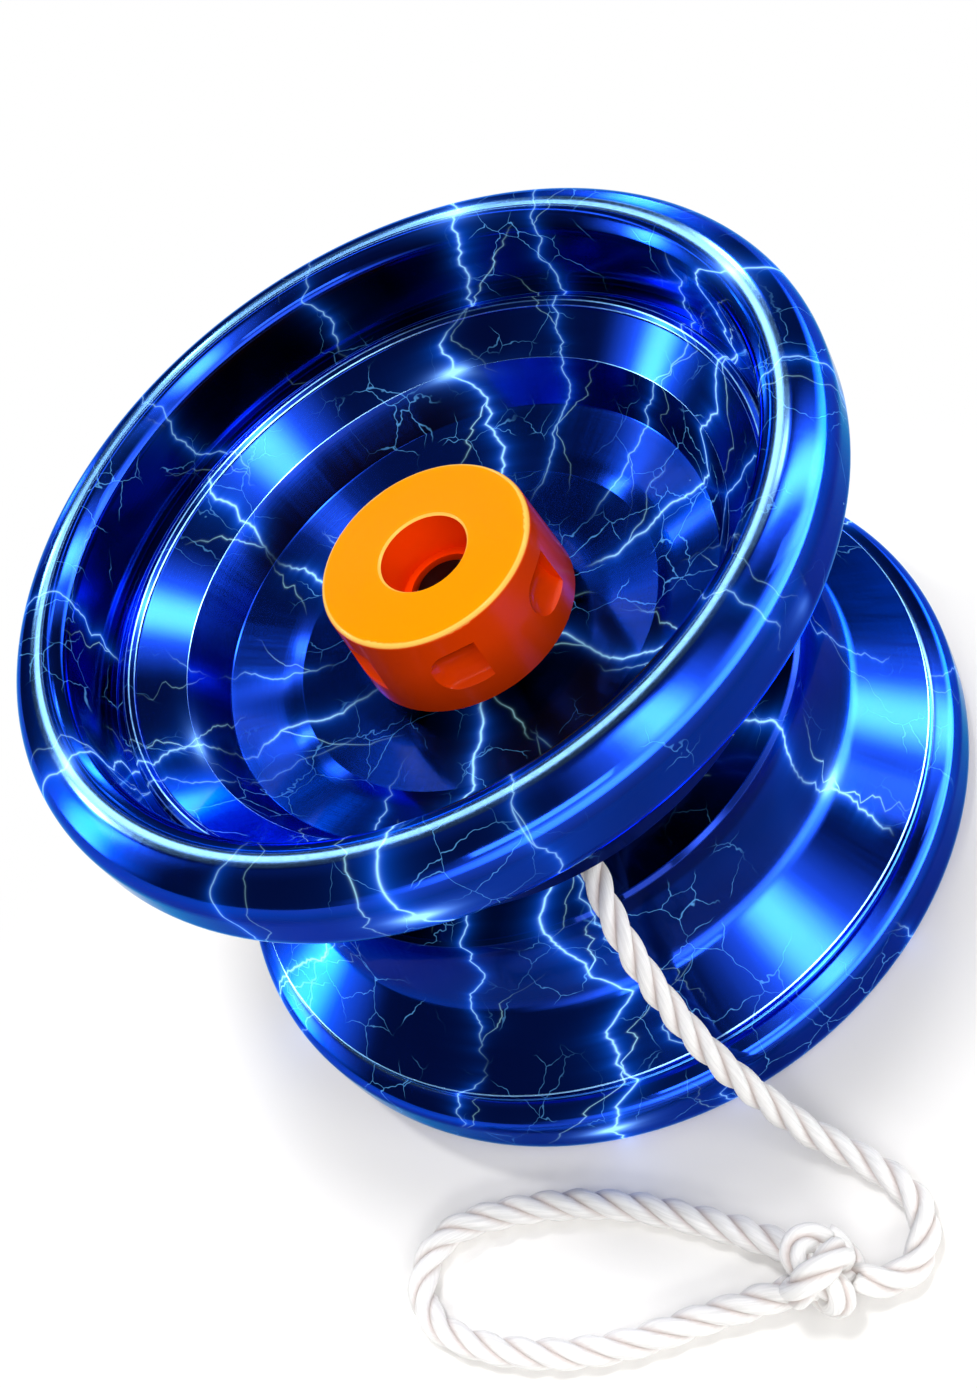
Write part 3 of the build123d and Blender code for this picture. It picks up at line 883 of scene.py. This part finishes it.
def rounded(corners):
    """Points, outward normals and edge shares of a section whose corners are small arcs.

    The edge share is 1 along the arc of a sharp outer corner, where the metal's finish paints a
    lighter colour as an edge highlight.
    """
    points, normals, edges = [], [], []
    for index, here in enumerate(corners):
        back = corners[index - 1] - here
        ahead = corners[(index + 1) % len(corners)] - here
        inward, outgoing = -back.normalized(), ahead.normalized()
        turn = math.atan2(inward.cross(outgoing), inward.dot(outgoing))
        long = min(back.length, ahead.length) > LONG_SIDE
        sharp = abs(turn) > (CREASE_TURN if long else SMOOTH_TURN)
        reach = CORNER_ROUND * math.tan(abs(turn) / 2) if sharp else BEND_REACH
        reach = min(reach, 0.49 * back.length, 0.49 * ahead.length)
        radius = math.copysign(reach / math.tan(abs(turn) / 2), turn)
        normal = Vector((inward.y, -inward.x))
        centre = here - inward * reach - normal * radius
        steps = max(3, math.ceil(abs(turn) / ARC_STEP))
        for step in range(steps + 1):
            swung = Matrix.Rotation(turn * step / steps, 2) @ normal
            points.append(centre + swung * radius)
            normals.append(swung)
            edges.append(float(sharp and turn > 0 and 0 < step < steps))
    return np.array(points), np.array(normals), np.array(edges)


def sweep_round(name, section, material, body, node):
    """Turn a section once round Z into a piece that stands for a CAD node."""
    points, normals, edges = section
    angles = np.linspace(0, math.tau, SWEEP_STEPS, endpoint=False)
    cosine, sine = np.cos(angles)[:, None], np.sin(angles)[:, None]

    def turned(pairs):
        flat = [pairs[:, 0] * cosine, pairs[:, 0] * sine, pairs[:, 1] + 0 * cosine]
        return np.stack(flat, axis=-1).reshape(-1, 3)

    count = len(points)
    step, spot = np.meshgrid(np.arange(SWEEP_STEPS), np.arange(count), indexing="ij")
    next_step, next_spot = (step + 1) % SWEEP_STEPS, (spot + 1) % count
    faces = np.stack(
        [
            step * count + spot,
            next_step * count + spot,
            next_step * count + next_spot,
            step * count + next_spot,
        ],
        axis=-1,
    ).reshape(-1, 4)
    piece = smooth_piece(name, (turned(points) * MM).tolist(), faces.tolist(), material)
    piece.data.normals_split_custom_set_from_vertices(turned(normals).tolist())
    point_values(piece, "edge_highlight", np.tile(edges, SWEEP_STEPS))
    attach(piece, body)
    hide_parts(node)


def turned_pair(kind, part, roughness, turning, crest):
    """Both halves' piece of one kind, each swept from its CAD node's own section."""
    for half, seed in zip(HALVES, HALF_SEEDS):
        node = f"{half}_{part}"
        finish = anodised(f"{half}_{kind}_blue", seed, roughness, turning, crest)
        section = rounded(cut_section(node))
        sweep_round(f"{half}_{kind}", section, finish, f"{half}_half", node)


# --------------------------------------------------------------------------- string


def route_line(name, points):
    """The smooth line of a route, as even points along its own NURBS spline, in metres."""
    curve = bpy.data.curves.new(name, "CURVE")
    curve.dimensions = "3D"
    spline = curve.splines.new("NURBS")
    spline.points.add(len(points) - 1)
    for control, point in zip(spline.points, points):
        control.co = (*(MM * c for c in point), 1.0)
    spline.order_u = 3
    spline.use_endpoint_u = True
    spline.resolution_u = 12
    guide = add_object(name, curve)
    bpy.context.view_layer.update()
    read = bpy.data.meshes.new_from_object(guide)
    line = np.array([vertex.co for vertex in read.vertices])
    bpy.data.objects.remove(guide)
    bpy.data.curves.remove(curve)
    bpy.data.meshes.remove(read)
    return even_line(line)


def even_line(line, spacing=LINE_SPACING):
    """The same line with its points one spacing apart."""
    lengths = np.linalg.norm(np.diff(line, axis=0), axis=1)
    line = line[np.concatenate([[True], lengths > 1e-9])]
    place = np.concatenate([[0], np.cumsum(lengths[lengths > 1e-9])])
    wanted = np.linspace(0, place[-1], max(8, round(place[-1] / spacing)) + 1)
    return np.stack([np.interp(wanted, place, line[:, axis]) for axis in range(3)], axis=1)


def carried_frames(line):
    """Two directions across a line that turn as little as they can along it."""
    tangents = np.gradient(line, axis=0)
    tangents /= np.linalg.norm(tangents, axis=1)[:, None]
    first = np.cross(tangents[0], (0.0, 0.0, 1.0))
    if np.linalg.norm(first) < 0.1:
        first = np.cross(tangents[0], (0.0, 1.0, 0.0))
    across = [first / np.linalg.norm(first)]
    for tangent in tangents[1:]:
        carried = across[-1] - tangent * (across[-1] @ tangent)
        across.append(carried / np.linalg.norm(carried))
    across = np.array(across)
    return across, np.cross(tangents, across)


def lay_strands(name, line, material, nodes, fluff, start_turn=0.0):
    """Three strands laid right-handed round a line, as one mesh.

    fluff says how much thicker the string is than when new, at each point of the line.
    """
    look = bpy.context.scene.yoyo_string
    half = look.diameter / 2 * fluff[:, None]
    strand_radius, helix_radius = half * STRAND_SHARE, half * HELIX_SHARE
    across, up = carried_frames(line)
    place = places_along(line)
    length, sides = place / MM, STRAND_SIDES
    around = np.linspace(0, math.tau, sides, endpoint=False)
    vertices, faces, strand_map, outward = [], [], [], []
    for strand in range(STRANDS):
        turn = math.tau * (place / look.lay + strand / STRANDS) + start_turn
        centre = line + helix_radius * (
            np.cos(turn)[:, None] * across + np.sin(turn)[:, None] * up
        )
        side, rise = carried_frames(centre)
        ring = (
            centre[:, None, :]
            + (strand_radius * np.cos(around))[:, :, None] * side[:, None, :]
            + (strand_radius * np.sin(around))[:, :, None] * rise[:, None, :]
        )
        vertices.append(ring.reshape(-1, 3))
        away = np.einsum("ijk,ik->ij", ring - centre[:, None, :], centre - line)
        outward.append((away / (strand_radius * helix_radius)).ravel())
        first = strand * len(line) * sides
        for row in range(len(line) - 1):
            start, end = length[row] + strand, length[row + 1] + strand
            for spot in range(sides):
                a = first + row * sides + spot
                b = first + row * sides + (spot + 1) % sides
                faces.append((a, b, b + sides, a + sides))
                low, high = spot / sides, (spot + 1) / sides
                strand_map += [(start, low), (start, high), (end, high), (end, low)]
        for row, order in ((0, -1), (len(line) - 1, 1)):
            faces.append([first + row * sides + spot for spot in range(sides)][::order])
            strand_map += [(length[row], 0.0)] * sides
    piece = smooth_piece(name, np.concatenate(vertices).tolist(), faces, material)
    point_values(piece, "outward", np.concatenate(outward))
    layer = piece.data.uv_layers.new(name="Strand")
    layer.data.foreach_set("uv", np.array(strand_map, np.float32).ravel())
    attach(piece, "string")
    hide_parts(*nodes)
    return piece


def lay_cord(name, line, yarn, nodes, fluff):
    """A length of string that ends at the knot."""
    piece = lay_strands(name, line, yarn, nodes, fluff)


def winding_route():
    """Control points of the wound turns, from the bearing out to the start of the free end."""
    points = []
    total = len(TURN_LAYERS) * TURN_POINTS
    spread = 1 / math.cos(math.pi / TURN_POINTS)
    for index in range(total):
        turn, share = divmod(index, TURN_POINTS)
        share /= TURN_POINTS
        following = min(turn + 1, len(TURN_LAYERS) - 1)
        change = max(0.0, (share - 1 + LANE_CHANGE) / LANE_CHANGE)
        change = change * change * (3 - 2 * change)
        layer = TURN_LAYERS[turn] + (TURN_LAYERS[following] - TURN_LAYERS[turn]) * change
        lane = TURN_LANES[turn] + (TURN_LANES[following] - TURN_LANES[turn]) * change
        radius = (FIRST_TURN_RADIUS + TURN_PITCH * layer) * spread
        angle = WINDING_END_ANGLE + math.tau * (total - index) / TURN_POINTS
        height = MIDDLE_Z / MM + LANE_OFFSET * lane
        points.append((radius * math.cos(angle), radius * math.sin(angle), height))
    return points


def knot_line():
    """The closed weave of an overhand knot, drawn up tight, in metres."""
    axis = Vector(KNOT_AXIS).normalized()
    across = axis.cross(Vector((0, 0, 1))).normalized()
    up = across.cross(axis)
    points = []
    for share in np.linspace(0, math.tau, KNOT_POINTS):
        radius = KNOT_RING_RADIUS + KNOT_WEAVE * math.cos(3 * share)
        depth = KNOT_HALF_DEPTH * math.sin(3 * share)
        around = 2 * share
        offset = radius * (math.cos(around) * across + math.sin(around) * up) + depth * axis
        points.append((Vector(KNOT_MIDDLE) + offset) * MM)
    return even_line(np.array(points), KNOT_SPACING)


def places_along(line):
    """How far along a line each of its points is."""
    return np.concatenate([[0], np.cumsum(np.linalg.norm(np.diff(line, axis=0), axis=1))])


def line_length(line):
    return float(places_along(line)[-1])


# --------------------------------------------------------------------------- stage


def area_lamp(name, place, size, power, mirrored):
    """A soft lamp that looks at the yo-yo; turned metal mirrors it only where asked."""
    data = bpy.data.lights.new(name, "AREA")
    data.shape = "RECTANGLE"
    data.size, data.size_y = size
    data.energy = power
    lamp = add_object(name, data)
    lamp.location = place
    lamp.rotation_mode = "QUATERNION"
    lamp.rotation_quaternion = (Vector(LAMP_AIM) - Vector(place)).to_track_quat("-Z", "Y")
    lamp.visible_camera = False
    lamp.visible_glossy = mirrored


def seen_directly(finish):
    """1 for rays from the camera, a reflection or through glass, and 0 for the rest."""
    outs = finish.node("ShaderNodeLightPath").socket.node.outputs
    camera, glossy, through = (
        Value(finish, outs[f"Is {kind} Ray"]) for kind in ("Camera", "Glossy", "Transmission")
    )
    return finish.maths("MAXIMUM", camera, finish.maths("MAXIMUM", glossy, through))


def floor_finish():
    """A white floor that keeps its shadows, and glows to plain white far from the yo-yo."""
    finish = Finish("floor_white")
    off = finish.vector_maths("SUBTRACT", finish.place(), FLOOR_SHADE_MIDDLE)
    far = finish.step(finish.vector_maths("LENGTH", off), *FLOOR_SHADE_EDGE)
    share = seen_directly(finish) * (far * (1 - FLOOR_GLOW) + FLOOR_GLOW)
    diffuse = finish.node("ShaderNodeBsdfDiffuse", None, {"Color": FLOOR_WHITE})
    shine = finish.node("ShaderNodeEmission", None, {"Color": (1.0, 1.0, 1.0), "Strength": 1.0})
    finish.output(finish.node("ShaderNodeMixShader", None, {0: share, 1: diffuse, 2: shine}))
    return finish.material


def white_surroundings(lighting):
    """A world that is white to the camera and in reflections, and lights the yo-yo more softly."""
    world = bpy.data.worlds.new("studio")
    bpy.context.scene.world = world
    world.use_nodes = True
    finish = Finish.on(world.node_tree)
    strength = seen_directly(finish) * (1 - lighting) + lighting
    background = finish.node(
        "ShaderNodeBackground", None, {"Color": (1.0, 1.0, 1.0), "Strength": strength}
    )
    finish.node("ShaderNodeOutputWorld", None, {"Surface": background})


def spokes(finish, turn, rays):
    """Light on spokes of the sky, which turned faces mirror as bright wedges."""
    glow = None
    for facing, power in rays:
        swing = finish.maths("COSINE", turn - math.radians(facing))
        off = finish.maths("ARCCOSINE", swing) * math.degrees(1.0)
        wedge = layered(finish, off, SPOKE_WEDGES) * power
        glow = wedge if glow is None else glow + wedge
    return glow


def layered(finish, off, layers):
    """The sum of some soft bands of light round one line, by the distance or angle from it."""
    (end, full, power), *rest = layers
    glow = finish.step(off, end, full) * power
    for end, full, power in rest:
        glow = glow + finish.step(off, end, full) * power
    return glow


def sky_piece(name, finish, glow, shape):
    """Something painted with light that only reflections straight from the camera see."""
    bounced = finish.node("ShaderNodeLightPath", output="Diffuse Depth")
    glow = glow * (1.0 - finish.clamp(bounced))
    tint = finish.scaled(finish.vector(*SKY_TINT), glow)
    finish.output(finish.node("ShaderNodeEmission", None, {"Color": tint, "Strength": 1.0}))
    mesh = bpy.data.meshes.new(name)
    shape.to_mesh(mesh)
    shape.free()
    mesh.materials.append(finish.material)
    piece = add_object(name, mesh)
    for ray in ("camera", "diffuse", "transmission", "shadow", "volume_scatter"):
        setattr(piece, f"visible_{ray}", False)
    return piece


def studio_dome():
    """A dark dome with soft strips and spokes of light, laid by the tilt of what mirrors them."""
    finish = Finish("dome_light")
    out = finish.vector_maths("NORMALIZE", finish.place())
    half_way = finish.vector_maths("ADD", out, DOME_VIEW)
    x, y, z = finish.split(finish.vector_maths("NORMALIZE", half_way))
    tilt = finish.maths("ARCCOSINE", z) * math.degrees(1.0)
    turn = finish.maths("ARCTAN2", y, x)
    glow = finish.step(tilt, *DOME_TOP_TILTS) * DOME_TOP_GLOW + SKY_DARK
    rays = spokes(finish, turn, DOME_SPOKES)
    for start, end in SPOKE_TILTS:
        rays = rays * finish.step(tilt, start, end)
    glow = glow + rays
    for middle, width, soft, power, facing, spread in DOME_STRIPS:
        strip = finish.step(abs(tilt - middle), width + soft, width) * power
        swing = finish.maths("COSINE", turn - math.radians(facing))
        edge = math.cos(math.radians(spread))
        glow = glow + strip * finish.step(swing, edge - 0.25, edge + 0.25)
    dome = bmesh.new()
    bmesh.ops.create_uvsphere(dome, u_segments=64, v_segments=32, radius=DOME_RADIUS)
    below = [v for v in dome.verts if v.co.z < -0.01]
    bmesh.ops.delete(dome, geom=below, context="VERTS")
    sky_piece("studio_dome", finish, glow, dome)


def ring_light():
    """A soft ring over the yo-yo that lies where the crest of the upper rim mirrors it."""
    finish = Finish("ring_light")
    point = finish.place()
    x, y, _ = finish.split(point)
    reach = finish.vector_maths("LENGTH", point)
    glow = layered(finish, abs(reach - RING_RADIUS), RING_BANDS)
    rays = spokes(finish, finish.maths("ARCTAN2", y, x), CARD_SPOKES)
    glow = glow + rays * finish.step(reach, *CARD_SPOKE_REACH) * CARD_SPOKE_POWER
    for facing, power in RING_BARS:
        side = x * math.sin(math.radians(facing)) - y * math.cos(math.radians(facing))
        bar = finish.step(abs(side), *BAR_WIDTH) * finish.step(reach, *BAR_REACH)
        glow = glow + bar * power
    card = bmesh.new()
    bmesh.ops.create_circle(card, cap_ends=True, segments=96, radius=CARD_RADIUS * MM)
    piece = sky_piece("ring_light", finish, glow + SKY_DARK, card)
    piece.location = RING_PLACE


# --------------------------------------------------------------------------- operators


class YOYO_OT_camera(bpy.types.Operator):
    """Add the camera"""

    bl_idname = "yoyo.add_camera"
    bl_label = "Add Camera"

    def execute(self, context):
        data = bpy.data.cameras.new("camera")
        data.lens = context.scene.yoyo_stage.lens
        data.sensor_width = 36.0
        data.clip_start, data.clip_end = 0.005, 50.0
        camera = add_object("camera", data)
        turn = Matrix((CAMERA_RIGHT, CAMERA_TOP, CAMERA_BACK)).transposed().to_4x4()
        camera.matrix_world = Matrix.Translation(CAMERA_PLACE) @ turn
        context.scene.camera = camera
        return {"FINISHED"}


class YOYO_OT_string(bpy.types.Operator):
    """Add the wound string, its free end, the finger loop and its knot"""

    bl_idname = "yoyo.add_string"
    bl_label = "Add String"

    def execute(self, context):
        yarn = cotton()
        weave = knot_line()
        handled = np.full(len(weave), HANDLED)
        knot = lay_strands("finger_knot_weave", weave, yarn, ["finger_knot"], handled, 0.4)
        wound = route_line("string_route", [*winding_route(), *TAIL_ROUTE])
        down = np.clip((line_length(wound) - places_along(wound)) / FREE_END, 0, 1)
        fluff = HANDLED + (1 - HANDLED) * down
        nodes = ["string_winding", "string_tail"]
        lay_cord("wound_string", wound, yarn, nodes, fluff)
        looped = route_line("loop_route", LOOP_ROUTE)
        handled = np.full(len(looped), HANDLED)
        lay_cord("finger_loop_string", looped, yarn, ["finger_loop"], handled)
        return {"FINISHED"}


class YOYO_OT_wings(bpy.types.Operator):
    """Add the turned hubs and wings of both halves"""

    bl_idname = "yoyo.add_wings"
    bl_label = "Add Wings"

    def execute(self, context):
        look = context.scene.yoyo_metal
        turned_pair("wing", "shell", look.roughness, look.turning, crest=0.0)
        return {"FINISHED"}


class YOYO_OT_rims(bpy.types.Operator):
    """Add the polished rim rings of both halves"""

    bl_idname = "yoyo.add_rims"
    bl_label = "Add Rims"

    def execute(self, context):
        look = context.scene.yoyo_metal
        turned_pair("rim", "rim_ring", look.rim_roughness, turning=0.1, crest=1.0)
        return {"FINISHED"}


class YOYO_OT_knobs(bpy.types.Operator):
    """Finish the thumb knobs"""

    bl_idname = "yoyo.finish_knobs"
    bl_label = "Finish Knobs"

    def execute(self, context):
        plastic = gloss_plastic()
        for half in HALVES:
            paint(f"{half}_knob", plastic)
        return {"FINISHED"}


class YOYO_OT_bearings(bpy.types.Operator):
    """Finish the three ball bearings"""

    bl_idname = "yoyo.finish_bearings"
    bl_label = "Finish Bearings"

    def execute(self, context):
        race = metal("race_steel", (0.62, 0.63, 0.65), 0.2)
        ball = metal("ball_steel", (0.72, 0.73, 0.75), 0.08, turned=False)
        shield = metal("shield_steel", (0.5, 0.51, 0.53), 0.32)
        brass = metal("cage_brass_finish", (0.72, 0.5, 0.2), 0.3, turned=False)
        finishes = {
            "inner_race": race,
            "outer_race": race,
            "balls": ball,
            "shields": shield,
            "clips": race,
            "cage": brass,
        }
        for bearing in ("main_bearing", "lower_knob_bearing", "upper_knob_bearing"):
            for part, finish in finishes.items():
                if f"{bearing}_{part}" in NODES:
                    paint(f"{bearing}_{part}", finish)
        return {"FINISHED"}


class YOYO_OT_hardware(bpy.types.Operator):
    """Finish the axle, spacers, posts, screws and response pads"""

    bl_idname = "yoyo.finish_hardware"
    bl_label = "Finish Axle Parts"

    def execute(self, context):
        turned = metal("turned_steel_finish", (0.56, 0.57, 0.6), 0.3)
        black = metal("black_oxide", (0.02, 0.022, 0.03), 0.35)
        pad = silicone()
        paint("axle", turned)
        for half in HALVES:
            paint(f"{half}_spacer", turned)
            paint(f"{half}_post", turned)
            paint(f"{half}_post_screw", black)
            paint(f"{half}_response_pad", pad)
        return {"FINISHED"}


class YOYO_OT_stage(bpy.types.Operator):
    """Add the floor, the surroundings and the lamps"""

    bl_idname = "yoyo.add_stage"
    bl_label = "Add Stage"

    def execute(self, context):
        look = context.scene.yoyo_stage
        context.scene.view_settings.view_transform = "Standard"
        half = look.floor_size / 2
        mesh = bpy.data.meshes.new("floor")
        corners = [(-half, -half, 0), (half, -half, 0), (half, half, 0), (-half, half, 0)]
        mesh.from_pydata(corners, [], [(0, 1, 2, 3)])
        mesh.materials.append(floor_finish())
        floor = add_object("floor", mesh)
        white_surroundings(look.surroundings)
        studio_dome()
        ring_light()
        for name, place, size, share, mirrored in LAMPS:
            area_lamp(name, place, size, look.lamp_power * share, mirrored)
        return {"FINISHED"}


class YOYO_PT_panel(bpy.types.Panel):
    """Sizes, colours and steps of the yo-yo"""

    bl_label = "Yo-yo"
    bl_idname = "YOYO_PT_panel"
    bl_space_type = "VIEW_3D"
    bl_region_type = "UI"
    bl_category = "Yo-yo"

    def draw(self, context):
        for name, group in SETTINGS.items():
            box = self.layout.box()
            for setting in group.__annotations__:
                box.prop(getattr(context.scene, name), setting)
        for operator in OPERATORS:
            self.layout.operator(operator.bl_idname)


SETTINGS = {
    "yoyo_metal": YoyoMetal,
    "yoyo_knob": YoyoKnob,
    "yoyo_string": YoyoString,
    "yoyo_stage": YoyoStage,
}
OPERATORS = (
    YOYO_OT_camera,
    YOYO_OT_string,
    YOYO_OT_wings,
    YOYO_OT_rims,
    YOYO_OT_knobs,
    YOYO_OT_bearings,
    YOYO_OT_hardware,
    YOYO_OT_stage,
)
CLASSES = (*SETTINGS.values(), *OPERATORS, YOYO_PT_panel)


def register():
    for cls in CLASSES:
        bpy.utils.register_class(cls)
    for name, group in SETTINGS.items():
        setattr(bpy.types.Scene, name, PointerProperty(type=group))


def unregister():
    for name in SETTINGS:
        delattr(bpy.types.Scene, name)
    for cls in reversed(CLASSES):
        bpy.utils.unregister_class(cls)


def main():
    register()
    for operator in OPERATORS:
        group, name = operator.bl_idname.split(".")
        getattr(getattr(bpy.ops, group), name)()
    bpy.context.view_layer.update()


if __name__ == "__main__":
    main()
